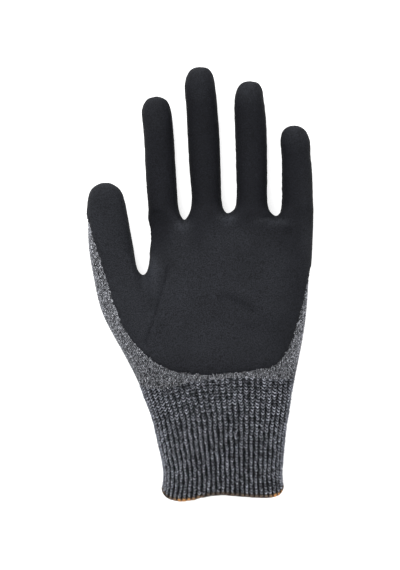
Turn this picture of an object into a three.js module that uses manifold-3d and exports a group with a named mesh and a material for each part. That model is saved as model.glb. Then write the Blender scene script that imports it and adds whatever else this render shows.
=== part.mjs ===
// A knitted work glove with a rubber-coated palm, lying on its back with the palm up.
// Millimetres. +X runs from the thumb's side to the little finger's, +Y from the cuff to the
// fingertips, and +Z out of the palm. The origin is the middle of the glove's footprint.
//
// The hand is one skin: a lattice of cells, two deep, for the palm and the five digits. Its outer
// points are set from the section tables below, and the skin is subdivided so that it passes
// through all of them. The knitted liner lies just under that skin and the coating just over it.
import * as THREE from "three";
import { mergeVertices } from "three/addons/utils/BufferGeometryUtils.js";
import Module from "manifold-3d";

const wasm = await Module();
wasm.setup();

// Walls and the layers about the skin, measured outwards from it.
const LINER_FACE = -0.5;
const LINER_WALL = 1.2;
const COATING_UNDER = -0.2;
const COATING_FACE = 0.6;

// Lengths that are sure to pass right through the glove, for what is cut with.
const BEYOND = { high: 60, far: 150, mouth: 10 };

// Details finer than this are left out of the coating, where its edge cuts the skin into slivers.
const SMOOTHING = 0.06;

// How far the back would sink into the table if it weren't flattened there.
const BACK_SINK = 0.6;
const SKIN_FLOOR = LINER_FACE - BACK_SINK;

// Sections across the palm, from the cuff up to the finger roots. left and right are its edges, and
// thumbSide, hollow and heelSide the height of its face there and in the middle.
const PALM_ROWS = [
  { y: -53.3, left: -35.7, right: 53.9, thumbSide: 22, hollow: 24, heelSide: 22 },
  { y: -34.7, left: -45.4, right: 57.6, thumbSide: 24, hollow: 24, heelSide: 24 },
  { y: -15.5, left: -55.3, right: 60.5, thumbSide: 24, hollow: 22.5, heelSide: 24 },
  { y: 3.8, left: -60.2, right: 61.9, thumbSide: 20, hollow: 20.5, heelSide: 22 },
  { y: 20.7, left: -27.6, right: 62.9, thumbSide: 19, hollow: 19.5, heelSide: 20 },
  { y: 38.2, left: -28.2, right: 63.7, thumbSide: 17, hollow: 18, heelSide: 17 },
];
const THUMB_ROW = 3;
const KNUCKLE_ROW = 5;
const PALM_SIDE_LEVEL = 0.42;
const PALM_INSET = 2.2;
const PALM_ROUNDNESS = 2.8;
const BACK_ROUNDNESS = 4.5;

// The forks between digits: the columns at each side, the fork's edges and its deepest point.
const FORKS = [
  { column: -1, row: THUMB_ROW, left: -35.0, right: -29.6, y: 6.4 },
  { column: 2, row: KNUCKLE_ROW, left: -10.4, right: -6.7, y: 37.3 },
  { column: 5, row: KNUCKLE_ROW, left: 14.2, right: 17.9, y: 40.5 },
  { column: 8, row: KNUCKLE_ROW, left: 40.9, right: 45.1, y: 39.2 },
];
const FORK_FACE = 0.72;
const FORK_BACK = 2.4;
const FORK_SETBACK = 1.6;

// Sections up each digit: its edges, how high its back is off the table, and its thickness.
const DIGITS = [
  {
    name: "thumb", column: -3, row: THUMB_ROW, tip: { x: -53.2, y: 57.3 },
    sections: [
      { y: 18.0, left: -62.7, right: -37.9, lift: 0.4, thick: 18.5 },
      { y: 30.3, left: -63.5, right: -40.0, lift: 1.2, thick: 17.5 },
      { y: 41.6, left: -63.1, right: -42.0, lift: 2.4, thick: 16.5 },
      { y: 49.2, left: -62.3, right: -43.6, lift: 3.6, thick: 15.5 },
    ],
  },
  {
    name: "index", column: 0, row: KNUCKLE_ROW, tip: { x: -24.5, y: 106.1 },
    sections: [
      { y: 43.9, left: -28.3, right: -12.8, lift: 0, thick: 16 },
      { y: 56.3, left: -29.4, right: -13.8, lift: 0, thick: 15 },
      { y: 73.3, left: -30.3, right: -14.8, lift: 0.5, thick: 14.5 },
      { y: 87.9, left: -31.1, right: -15.8, lift: 1.6, thick: 14 },
      { y: 97.5, left: -32.0, right: -16.8, lift: 2.8, thick: 13.5 },
    ],
  },
  {
    name: "middle", column: 3, row: KNUCKLE_ROW, tip: { x: 0.3, y: 122.7 },
    sections: [
      { y: 46.1, left: -3.8, right: 11.9, lift: 0, thick: 16.5 },
      { y: 59.7, left: -4.5, right: 11.2, lift: 0, thick: 15.5 },
      { y: 80.0, left: -5.8, right: 10.6, lift: 0.6, thick: 15 },
      { y: 100.4, left: -6.8, right: 9.2, lift: 2.2, thick: 14.5 },
      { y: 112.8, left: -7.7, right: 7.9, lift: 3.6, thick: 14 },
    ],
  },
  {
    name: "ring", column: 6, row: KNUCKLE_ROW, tip: { x: 28.4, y: 114.8 },
    sections: [
      { y: 45.6, left: 21.3, right: 37.8, lift: 0, thick: 16.5 },
      { y: 59.7, left: 21.6, right: 37.5, lift: 0, thick: 15.5 },
      { y: 76.6, left: 21.2, right: 37.4, lift: 0.5, thick: 15 },
      { y: 93.6, left: 20.6, right: 36.8, lift: 1.8, thick: 14.5 },
      { y: 105.5, left: 20.6, right: 35.4, lift: 3.2, thick: 13.5 },
    ],
  },
  {
    name: "little", column: 9, row: KNUCKLE_ROW, tip: { x: 53.6, y: 89.8 },
    sections: [
      { y: 45.0, left: 47.2, right: 63.6, lift: 0, thick: 15.5 },
      { y: 56.3, left: 47.4, right: 63.3, lift: 0, thick: 14.5 },
      { y: 66.5, left: 47.4, right: 62.8, lift: 0.5, thick: 14 },
      { y: 74.4, left: 47.2, right: 62.0, lift: 1.2, thick: 13.5 },
      { y: 81.4, left: 46.6, right: 61.7, lift: 2.2, thick: 13 },
    ],
  },
];
const DIGIT_COLUMNS = 2;
const FIRST_COLUMN = -3;
const LAST_COLUMN = 11;
const FULL_ROUND = { across: 0.77, deep: 0.74 };
const TIP_RING = { below: 0.3, size: 0.714 };

// The coating's lower edge across the palm, from the thumb's outer side to the little finger's.
const COATING_EDGE = [
  [-63.8, 39.0], [-59.2, 23.6], [-52.6, 1.0], [-44.8, -21.6], [-34.5, -36.3], [-20.0, -47.4],
  [-4.0, -51.2], [14.0, -50.2], [32.0, -47.2], [45.6, -43.2], [50.6, -37.0], [56.0, -18.5],
  [60.0, -4.5], [63.2, 9.5],
];
const COATING_SIDE_LEVEL = 5.5;
const COATING_TIP_WRAP = 8;
const COATING_TIP_SPARE = 3;

// Sections down the ribbed cuff: the height of its face over the table, and its edges.
const CUFF_ROWS = [
  { y: -53.6, left: -35.6, right: 53.9, high: 23.5 },
  { y: -62.3, left: -32.2, right: 52.2, high: 23 },
  { y: -72.5, left: -28.2, right: 50.7, high: 22 },
  { y: -82.7, left: -25.5, right: 49.1, high: 21 },
  { y: -96.2, left: -22.5, right: 47.8, high: 20 },
  { y: -108.1, left: -20.9, right: 47.2, high: 19.5 },
  { y: -118.6, left: -22.3, right: 48.4, high: 20 },
];
const RIBS = 48;
const RIB_DEPTH = 0.8;
const CUFF_WALL = 2.0;
const CUFF_ROUNDNESS = 2.5;
const CUFF_SIDE_LEVEL = 0.45;

// How low the hem hangs, at even steps across from the thumb's side: on the face and on the back.
const HEM_LINE = [
  { face: -121.0, back: -119.0 },
  { face: -121.3, back: -118.0 },
  { face: -118.9, back: -118.5 },
  { face: -117.8, back: -119.0 },
  { face: -118.7, back: -118.6 },
  { face: -119.5, back: -118.0 },
  { face: -119.8, back: -118.6 },
];
// How high the hem rises at the cuff's two edges, and over what width of each.
const HEM_CORNERS = { left: 5.0, right: 4.4, across: 11 };
const HEM_GAP = 0.6;
const OVERLOCK_HIGH = 2.6;
const OVERLOCK_DEEP = 3.0;
const OVERLOCK_SIDES = 6;

const COATING_COLOUR = 0x2e2f33;
const LINER_COLOUR = 0x55575b;
const CUFF_COLOUR = 0x4f5154;
const OVERLOCK_COLOUR = 0x8a5a2c;

const mix = (a, b, t) => a + (b - a) * t;
const rounded = (t, power) => Math.pow(Math.max(0, 1 - Math.pow(Math.abs(t), power)), 1 / power);

// The columns of the finger roots, across row KNUCKLE_ROW: the edges of each finger and its middle.
function knuckleColumns() {
  const { left, right } = PALM_ROWS[KNUCKLE_ROW];
  const forks = FORKS.filter((f) => f.row === KNUCKLE_ROW);
  const starts = [left + PALM_INSET, ...forks.map((f) => f.right)];
  const ends = [...forks.map((f) => f.left), right - PALM_INSET];
  return starts.flatMap((start, n) => [start, (start + ends[n]) / 2, ends[n]]);
}

// Where a column crosses a row of the palm.
function columnX(column, row) {
  const { left, right } = PALM_ROWS[row];
  const knuckles = knuckleColumns();
  const knuckleShare = (c) => (knuckles[c] - knuckles[0]) / (knuckles.at(-1) - knuckles[0]);
  if (row > THUMB_ROW)
    return mix(left + PALM_INSET, right - PALM_INSET, knuckleShare(column));
  const edge = PALM_ROWS[THUMB_ROW];
  const fork = FORKS[0];
  const spread =
    column >= 0
      ? mix(fork.right, edge.right - PALM_INSET, knuckleShare(column))
      : [edge.left + PALM_INSET, (edge.left + fork.left) / 2, fork.left][column - FIRST_COLUMN];
  const spreadShare = (spread - edge.left) / (edge.right - edge.left);
  const inset = PALM_INSET / (right - left);
  const evenShare = mix(inset, 1 - inset, (column - FIRST_COLUMN) / (LAST_COLUMN - FIRST_COLUMN));
  return mix(left, right, mix(evenShare, spreadShare, row / THUMB_ROW));
}

// A point of the palm's lattice: layer 0 is the back, 1 the side and 2 the face.
function palmPoint(column, row, layer) {
  const { y, left, right, thumbSide, hollow, heelSide } = PALM_ROWS[row];
  const x = columnX(column, row);
  const t = (2 * (x - left)) / (right - left) - 1;
  const face = hollow + ((heelSide - thumbSide) / 2) * t + ((thumbSide + heelSide) / 2 - hollow) * t * t;
  const side = PALM_SIDE_LEVEL * face;
  const fork = FORKS.find((f) => f.row === row && (column === f.column || column === f.column + 1));
  if (fork && layer === 1)
    return new THREE.Vector3(column === fork.column ? fork.left : fork.right, fork.y, side);
  if (fork)
    return new THREE.Vector3(x, fork.y - FORK_SETBACK, layer === 2 ? FORK_FACE * face : FORK_BACK);
  if (layer === 1) return new THREE.Vector3(t < 0 ? left : right, y, side);
  if (layer === 2) return new THREE.Vector3(x, y, mix(side, face, rounded(t, PALM_ROUNDNESS)));
  return new THREE.Vector3(x, y, mix(side, SKIN_FLOOR, rounded(t, BACK_ROUNDNESS)));
}

// A point of a digit's lattice: across is -1, 0 or 1, and up counts its sections from the root.
function digitPoint(digit, across, up, layer) {
  const { sections, tip } = digit;
  const beyond = up > sections.length;
  const { y, left, right, lift, thick } = sections[Math.min(up, sections.length) - 1];
  const half = (right - left) / 2;
  const middle = beyond ? tip.x : (left + right) / 2;
  const level = lift + SKIN_FLOOR + thick / 2;
  const size = beyond ? TIP_RING.size : 1;
  const deep = layer - 1;
  if (beyond && across === 0 && deep === 0) return new THREE.Vector3(tip.x, tip.y, level);
  const corner = across !== 0 && deep !== 0;
  return new THREE.Vector3(
    middle + across * half * size * (corner ? FULL_ROUND.across : 1),
    beyond ? tip.y - TIP_RING.below * half : y,
    level + deep * (thick / 2) * size * (corner ? FULL_ROUND.deep : 1),
  );
}

function latticePoint(column, row, layer) {
  const digit = DIGITS.find(
    (d) => row > d.row && column >= d.column && column <= d.column + DIGIT_COLUMNS,
  );
  if (digit && (row > KNUCKLE_ROW || digit.row === THUMB_ROW))
    return digitPoint(digit, column - digit.column - 1, row - digit.row, layer);
  return palmPoint(column, row, layer);
}

function isFilled(column, row) {
  if (row < 0 || column >= LAST_COLUMN) return false;
  if (row < THUMB_ROW) return column >= FIRST_COLUMN;
  if (row < KNUCKLE_ROW && column >= 0) return true;
  return DIGITS.some(
    (d) =>
      row >= d.row &&
      row <= d.row + d.sections.length &&
      column >= d.column &&
      column < d.column + DIGIT_COLUMNS,
  );
}

// The skin's quads, facing out, over every side of the lattice but the mouth.
function handLattice() {
  const points = [];
  const quads = [];
  const known = new Map();
  const vertex = (column, row, layer) => {
    const key = [column, row, layer].join();
    if (!known.has(key)) known.set(key, points.push(latticePoint(column, row, layer)) - 1);
    return known.get(key);
  };
  const quad = (...corners) => quads.push(corners.map((corner) => vertex(...corner)));
  const rows = Math.max(...DIGITS.map((d) => d.row + d.sections.length + 1));
  for (let c = FIRST_COLUMN; c < LAST_COLUMN; c++)
    for (let r = 0; r < rows; r++) {
      if (!isFilled(c, r)) continue;
      quad([c, r, 2], [c + 1, r, 2], [c + 1, r + 1, 2], [c, r + 1, 2]);
      quad([c, r, 0], [c, r + 1, 0], [c + 1, r + 1, 0], [c + 1, r, 0]);
      for (const k of [0, 1]) {
        if (!isFilled(c - 1, r)) quad([c, r, k], [c, r, k + 1], [c, r + 1, k + 1], [c, r + 1, k]);
        if (!isFilled(c + 1, r))
          quad([c + 1, r, k], [c + 1, r + 1, k], [c + 1, r + 1, k + 1], [c + 1, r, k + 1]);
        if (!isFilled(c, r + 1))
          quad([c, r + 1, k], [c, r + 1, k + 1], [c + 1, r + 1, k + 1], [c + 1, r + 1, k]);
      }
    }
  return { points, quads };
}

// Which quads and edges meet at each point, for the subdivision.
function neighbourhoods({ points, quads }) {
  const near = points.map(() => ({ ring: new Set(), diagonals: [], rim: [] }));
  const edgeFaces = new Map();
  for (const quad of quads)
    quad.forEach((a, n) => {
      const b = quad[(n + 1) % 4];
      near[a].ring.add(b);
      near[b].ring.add(a);
      near[a].diagonals.push(quad[(n + 2) % 4]);
      const key = Math.min(a, b) + "," + Math.max(a, b);
      edgeFaces.set(key, (edgeFaces.get(key) ?? 0) + 1);
    });
  for (const [key, count] of edgeFaces)
    if (count === 1) {
      const [a, b] = key.split(",").map(Number);
      near[a].rim.push(b);
      near[b].rim.push(a);
    }
  return near;
}

const sum = (points, ids) => ids.reduce((s, id) => s.add(points[id]), new THREE.Vector3());

// Where each point ends up on the limit of Catmull-Clark subdivision.
function limitPoints(mesh, near) {
  return mesh.points.map((p, id) => {
    const { ring, diagonals, rim } = near[id];
    if (rim.length) return sum(mesh.points, rim).addScaledVector(p, 4).divideScalar(6);
    const n = ring.size;
    return sum(mesh.points, [...ring])
      .multiplyScalar(4)
      .add(sum(mesh.points, diagonals))
      .addScaledVector(p, n * n)
      .divideScalar(n * (n + 5));
  });
}

// Moves the control points until the limit surface passes through the points they had.
function passThrough(mesh, rounds = 12) {
  const near = neighbourhoods(mesh);
  const control = { points: mesh.points.map((p) => p.clone()), quads: mesh.quads };
  for (let round = 0; round < rounds; round++) {
    const reached = limitPoints(control, near);
    control.points.forEach((p, id) => p.add(mesh.points[id]).sub(reached[id]));
  }
  return control;
}

// One step of Catmull-Clark subdivision.
function subdivided(mesh) {
  const near = neighbourhoods(mesh);
  const points = [];
  const facePoints = mesh.quads.map((quad) => points.push(sum(mesh.points, quad).divideScalar(4)) - 1);
  const facesOfEdge = new Map();
  mesh.quads.forEach((quad, f) =>
    quad.forEach((a, n) => {
      const b = quad[(n + 1) % 4];
      const key = Math.min(a, b) + "," + Math.max(a, b);
      facesOfEdge.set(key, [...(facesOfEdge.get(key) ?? []), f]);
    }),
  );
  const edgePoints = new Map();
  for (const [key, faces] of facesOfEdge) {
    const middle = sum(mesh.points, key.split(",").map(Number)).divideScalar(2);
    if (faces.length === 2)
      middle.add(sum(points, faces.map((f) => facePoints[f])).divideScalar(2)).divideScalar(2);
    edgePoints.set(key, points.push(middle) - 1);
  }
  const facesOfPoint = mesh.points.map(() => []);
  mesh.quads.forEach((quad, f) => quad.forEach((id) => facesOfPoint[id].push(f)));
  const oldPoints = mesh.points.map((p, id) => {
    const { ring, rim } = near[id];
    if (rim.length)
      return points.push(sum(mesh.points, rim).addScaledVector(p, 6).divideScalar(8)) - 1;
    const n = ring.size;
    const faces = sum(points, facesOfPoint[id].map((f) => facePoints[f])).divideScalar(n);
    const edges = sum(mesh.points, [...ring]).divideScalar(n).add(p).divideScalar(2);
    return points.push(faces.addScaledVector(edges, 2).addScaledVector(p, n - 3).divideScalar(n)) - 1;
  });
  const quads = mesh.quads.flatMap((quad, f) =>
    quad.map((id, n) => {
      const edge = (a, b) => edgePoints.get(Math.min(a, b) + "," + Math.max(a, b));
      return [oldPoints[id], edge(id, quad[(n + 1) % 4]), facePoints[f], edge(quad[(n + 3) % 4], id)];
    }),
  );
  return { points, quads };
}

function onLimit(mesh) {
  return { points: limitPoints(mesh, neighbourhoods(mesh)), quads: mesh.quads };
}

// The mesh moved outwards by a distance, with its mouth kept in one plane and its back kept at or
// above the given level.
function offset(mesh, distance, lowest) {
  const normals = mesh.points.map(() => new THREE.Vector3());
  for (const [a, b, c, d] of mesh.quads) {
    const diagonal = new THREE.Vector3().subVectors(mesh.points[c], mesh.points[a]);
    const other = new THREE.Vector3().subVectors(mesh.points[d], mesh.points[b]);
    const normal = diagonal.cross(other).normalize();
    for (const id of [a, b, c, d]) normals[id].add(normal);
  }
  const mouth = Math.min(...mesh.points.map((p) => p.y));
  return {
    quads: mesh.quads,
    points: mesh.points.map((p, id) => {
      const normal = normals[id];
      if (p.y < mouth + 0.01) normal.y = 0;
      const moved = p.clone().addScaledVector(normal.normalize(), distance);
      moved.z = Math.max(moved.z, lowest);
      return moved;
    }),
  };
}

// A closed solid from quads with one open mouth, which is drawn out by a length and capped flat.
function solidFrom({ points, quads }, drawnOut) {
  const vertices = points.map((p) => p.toArray());
  const triangles = quads.flatMap(([a, b, c, d]) => {
    const acd = points[a].distanceTo(points[c]) <= points[b].distanceTo(points[d]);
    return acd ? [[a, b, c], [a, c, d]] : [[a, b, d], [b, c, d]];
  });
  const next = new Map();
  const used = new Set(quads.flatMap((quad) => quad.map((a, n) => a + "," + quad[(n + 1) % 4])));
  for (const key of used) {
    const [a, b] = key.split(",").map(Number);
    if (!used.has(b + "," + a)) next.set(b, a);
  }
  const rim = [next.keys().next().value];
  while (next.get(rim.at(-1)) !== rim[0]) rim.push(next.get(rim.at(-1)));
  let ring = rim;
  if (drawnOut) {
    ring = rim.map((id) => vertices.push([points[id].x, points[id].y - drawnOut, points[id].z]) - 1);
    rim.forEach((a, n) => {
      const m = (n + 1) % rim.length;
      triangles.push([a, rim[m], ring[m]], [a, ring[m], ring[n]]);
    });
  }
  const middle = ring.reduce((s, id) => s.add(new THREE.Vector3(...vertices[id])), new THREE.Vector3());
  const centre = vertices.push(middle.divideScalar(ring.length).toArray()) - 1;
  ring.forEach((a, n) => triangles.push([a, ring[(n + 1) % ring.length], centre]));
  return manifoldOf(vertices, triangles);
}

function manifoldOf(vertices, triangles) {
  return new wasm.Manifold(
    new wasm.Mesh({
      numProp: 3,
      vertProperties: new Float32Array(vertices.flat()),
      triVerts: new Uint32Array(triangles.flat()),
    }),
  );
}

// A three.js geometry as a manifold solid, and back.
function manifoldOfGeometry(geometry) {
  const bare = new THREE.BufferGeometry();
  const source = geometry.index ? geometry.toNonIndexed() : geometry;
  bare.setAttribute("position", source.getAttribute("position"));
  const merged = mergeVertices(bare, 1e-4);
  return new wasm.Manifold(
    new wasm.Mesh({
      numProp: 3,
      vertProperties: merged.attributes.position.array,
      triVerts: new Uint32Array(merged.index.array),
    }),
  );
}

function geometryOf(manifold) {
  const mesh = manifold.getMesh();
  const geometry = new THREE.BufferGeometry();
  geometry.setAttribute("position", new THREE.BufferAttribute(mesh.vertProperties, mesh.numProp));
  geometry.setIndex(new THREE.BufferAttribute(mesh.triVerts, 1));
  geometry.computeVertexNormals();
  return geometry;
}

// The knitted liner: the skin set in a little, hollow down to the mouth.
function handLiner(coarse, fine) {
  const outside = solidFrom(offset(fine, LINER_FACE, 0), 0);
  const inside = solidFrom(offset(coarse, LINER_FACE - LINER_WALL, LINER_WALL), BEYOND.mouth);
  return outside.subtract(inside);
}

// The space that the coating may fill: everything above the lower edge and over the side level,
// and all round the tip of each digit.
function coatingReach() {
  const { high, far } = BEYOND;
  const edge = new THREE.SplineCurve(COATING_EDGE.map(([x, y]) => new THREE.Vector2(x, y)));
  const outline = new THREE.Shape([
    new THREE.Vector2(-far, COATING_EDGE[0][1]),
    ...edge.getPoints(COATING_EDGE.length * 2),
    new THREE.Vector2(far, COATING_EDGE.at(-1)[1]),
    new THREE.Vector2(far, far),
    new THREE.Vector2(-far, far),
  ]);
  const above = new THREE.ExtrudeGeometry(outline, { depth: high, bevelEnabled: false });
  let reach = manifoldOfGeometry(above.translate(0, 0, COATING_SIDE_LEVEL));
  for (const { tip, sections } of DIGITS) {
    const { left, right } = sections.at(-1);
    const width = right - left + 2 * COATING_TIP_SPARE;
    const cap = new THREE.BoxGeometry(width, 2 * COATING_TIP_WRAP, 2 * high);
    reach = reach.add(manifoldOfGeometry(cap.translate(tip.x, tip.y, 0)));
  }
  return reach;
}

function palmCoating(fine) {
  const outside = solidFrom(offset(fine, COATING_FACE, -Infinity), 0);
  const inside = solidFrom(offset(fine, COATING_UNDER, -Infinity), BEYOND.mouth);
  return outside.subtract(inside).intersect(coatingReach()).simplify(SMOOTHING);
}

// A point of the cuff's section at a turn from 0 to 1, anticlockwise from the little finger's side.
// inward is its depth below the crests of the ribs.
function cuffPoint({ left, right, high: top }, turn, inward) {
  const angle = turn * 2 * Math.PI;
  const half = (right - left) / 2 - inward;
  const side = CUFF_SIDE_LEVEL * top;
  const up = Math.sin(angle) >= 0 ? top - inward - side : side - inward;
  const power = 2 / CUFF_ROUNDNESS;
  const swing = (v) => Math.sign(v) * Math.pow(Math.abs(v), power);
  return new THREE.Vector2(
    (left + right) / 2 + half * swing(Math.cos(angle)),
    Math.max(side + up * swing(Math.sin(angle)), inward),
  );
}

// Turns at even distances round the cuff's middle section, so that the ribs are equally wide.
function evenTurns(count) {
  const row = CUFF_ROWS[Math.floor(CUFF_ROWS.length / 2)];
  const steps = 2000;
  const lengths = [0];
  for (let n = 1; n <= steps; n++) {
    const step = cuffPoint(row, n / steps, 0).distanceTo(cuffPoint(row, (n - 1) / steps, 0));
    lengths.push(lengths.at(-1) + step);
  }
  return Array.from({ length: count }, (_, n) => {
    const wanted = (lengths.at(-1) * n) / count;
    return lengths.findIndex((length) => length >= wanted) / steps;
  });
}

// How low the hem hangs at a point of the last row's section: its line on the back runs over into
// the one on the face as the section's side goes up.
function hemAt({ left, right, high: top }, { x, y: z }) {
  const place = THREE.MathUtils.clamp((x - left) / (right - left), 0, 1) * (HEM_LINE.length - 1);
  const before = Math.min(Math.floor(place), HEM_LINE.length - 2);
  const t = (1 - Math.cos(Math.PI * (place - before))) / 2;
  const line = (side) => mix(HEM_LINE[before][side], HEM_LINE[before + 1][side], t);
  const corner = (fromEdge) =>
    Math.pow(THREE.MathUtils.clamp(1 - fromEdge / HEM_CORNERS.across, 0, 1), 3);
  const rise = HEM_CORNERS.left * corner(x - left) + HEM_CORNERS.right * corner(right - x);
  return mix(line("back"), line("face"), THREE.MathUtils.smoothstep(z / top, 0.2, 0.8)) + rise;
}

// A closed band of rings, each a list of points, joined in a loop from outside to inside.
function bandOf(rings) {
  const count = rings[0].length;
  const vertices = rings.flatMap((ring) => ring.map((p) => p.toArray()));
  const triangles = rings.flatMap((ring, r) => {
    const here = r * count;
    const there = ((r + 1) % rings.length) * count;
    return ring.flatMap((_, n) => {
      const m = (n + 1) % count;
      return [
        [here + n, here + m, there + m],
        [here + n, there + m, there + n],
      ];
    });
  });
  return manifoldOf(vertices, triangles);
}

function ribbedCuff() {
  const turns = evenTurns(2 * RIBS);
  const last = CUFF_ROWS.at(-1);
  const ring = (row, depth) =>
    turns.map((turn, n) => {
      const at = cuffPoint(row, turn, depth(n));
      const y = row === last ? hemAt(row, at) + OVERLOCK_HIGH + HEM_GAP : row.y;
      return new THREE.Vector3(at.x, y, at.y);
    });
  const outer = CUFF_ROWS.map((row) => ring(row, (n) => (n % 2 ? RIB_DEPTH : 0)));
  const inner = CUFF_ROWS.filter((_, r) => r % 2 === 0).map((row) => ring(row, () => CUFF_WALL));
  return bandOf([...outer, ...inner.reverse()]);
}

// The overlock stitching that binds the hem, as one bead of thread just off the knit.
function hemOverlock() {
  const row = CUFF_ROWS.at(-1);
  const turns = evenTurns(RIBS);
  const rings = Array.from({ length: OVERLOCK_SIDES }, (_, s) => {
    const angle = (2 * Math.PI * (s + 0.5)) / OVERLOCK_SIDES;
    const inward = CUFF_WALL / 2 - (OVERLOCK_DEEP / 2) * Math.sin(angle);
    const along = (OVERLOCK_HIGH / 2 / Math.cos(Math.PI / OVERLOCK_SIDES)) * Math.cos(angle);
    return turns.map((turn) => {
      const at = cuffPoint(row, turn, inward);
      const y = hemAt(row, at) + OVERLOCK_HIGH / 2 + along;
      return new THREE.Vector3(at.x, y, Math.max(at.y, 0));
    });
  });
  return bandOf(rings);
}

function named(name, manifold, colour, roughness) {
  const material = new THREE.MeshStandardMaterial({ color: colour, roughness, metalness: 0 });
  const mesh = new THREE.Mesh(geometryOf(manifold), material);
  mesh.name = name;
  return mesh;
}

const lattice = handLattice();
const control = passThrough(lattice);
const coarseSkin = onLimit(control);
const fineSkin = onLimit(subdivided(control));

const hand = new THREE.Group();
hand.add(named("hand_liner", handLiner(coarseSkin, fineSkin), LINER_COLOUR, 0.95));
hand.add(named("palm_coating", palmCoating(fineSkin), COATING_COLOUR, 0.75));

const cuff = new THREE.Group();
cuff.add(named("rib_cuff", ribbedCuff(), CUFF_COLOUR, 0.95));
cuff.add(named("hem_overlock", hemOverlock(), OVERLOCK_COLOUR, 0.8));

const glove = new THREE.Group();
glove.add(hand, cuff);

// The origin goes to the middle of the footprint, on the table.
const bounds = new THREE.Box3().setFromObject(glove, true);
const centre = bounds.getCenter(new THREE.Vector3());
glove.position.set(-centre.x, -centre.y, -bounds.min.z);

export default glove;
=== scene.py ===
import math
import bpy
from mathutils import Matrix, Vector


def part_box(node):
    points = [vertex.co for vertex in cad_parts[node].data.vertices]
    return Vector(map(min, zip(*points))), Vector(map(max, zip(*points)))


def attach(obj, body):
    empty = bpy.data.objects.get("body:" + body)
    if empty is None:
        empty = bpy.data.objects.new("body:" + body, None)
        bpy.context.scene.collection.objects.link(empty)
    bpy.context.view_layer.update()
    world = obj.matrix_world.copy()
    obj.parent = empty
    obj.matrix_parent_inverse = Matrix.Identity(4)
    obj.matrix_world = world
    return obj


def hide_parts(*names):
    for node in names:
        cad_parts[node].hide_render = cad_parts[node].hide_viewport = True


bl_info = {
    "name": "Coated Work Glove",
    "version": (1, 0, 0),
    "blender": (4, 5, 0),
    "location": "View3D > Sidebar > Glove",
    "description": "A knitted work glove with a rubber-coated palm, lying palm up",
    "category": "Add Mesh",
}

import bmesh
import bpy
import numpy as np
from mathutils import Vector, noise

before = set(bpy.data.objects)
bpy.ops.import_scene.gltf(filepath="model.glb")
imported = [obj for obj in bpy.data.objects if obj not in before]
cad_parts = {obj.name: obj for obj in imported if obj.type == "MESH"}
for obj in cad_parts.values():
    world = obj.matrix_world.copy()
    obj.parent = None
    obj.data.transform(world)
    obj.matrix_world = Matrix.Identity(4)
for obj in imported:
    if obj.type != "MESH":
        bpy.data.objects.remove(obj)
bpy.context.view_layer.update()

MM = 0.001

# The tables below are in millimetres, in the frame that the solids were drawn in before they were
# centred on their footprint. SHIFT is how far the centring moved them.
CUFF_TOP = (-35.6, 53.9)
MOUTH_Y = -53.3
SHIFT = np.array([
    (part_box("rib_cuff")[0][0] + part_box("rib_cuff")[1][0]) / 2 / MM - sum(CUFF_TOP) / 2,
    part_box("hand_liner")[0][1] / MM - MOUTH_Y,
    0.0,
])

# Sections across the palm: y, left edge, right edge, and the height of the face at the thumb's
# side, in the middle and at the heel's side.
PALM_ROWS = [
    (-53.3, -35.7, 53.9, 22.0, 24.0, 22.0),
    (-34.7, -45.4, 57.6, 24.0, 24.0, 24.0),
    (-15.5, -55.3, 60.5, 24.0, 22.5, 24.0),
    (3.8, -60.2, 61.9, 20.0, 20.5, 22.0),
    (20.7, -27.6, 62.9, 19.0, 19.5, 20.0),
    (38.2, -28.5, 63.6, 17.0, 18.0, 17.0),
]
# Sections down the cuff: y, left edge, right edge and height.
CUFF_ROWS = [
    (-62.3, -32.2, 52.2, 23.0),
    (-72.5, -28.2, 50.7, 22.0),
    (-82.7, -25.5, 49.1, 21.0),
    (-96.2, -22.5, 47.8, 20.0),
    (-108.1, -20.9, 47.2, 19.5),
    (-118.6, -22.3, 48.4, 20.0),
    (-124.0, -22.7, 48.8, 20.0),
]
THUMB_ROW = 3
KNUCKLE_ROW = 5
FIRST_ROW = -len(CUFF_ROWS)
FIRST_COLUMN, LAST_COLUMN = -3, 11
SIDE_LEVEL = 0.42
PALM_INSET = 2.2
FACE_ROUNDNESS = 2.8
BACK_ROUNDNESS = 4.5
SKIN_FLOOR = -1.1

# The forks between digits: column, row, left edge, right edge and deepest point.
FORKS = [
    (-1, THUMB_ROW, -35.0, -29.1, 6.4),
    (2, KNUCKLE_ROW, -10.4, -6.7, 37.3),
    (5, KNUCKLE_ROW, 14.2, 17.9, 40.5),
    (8, KNUCKLE_ROW, 40.9, 45.1, 39.2),
]
FORK_FACE, FORK_BACK, FORK_SETBACK = 0.88, 2.4, 1.6

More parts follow.
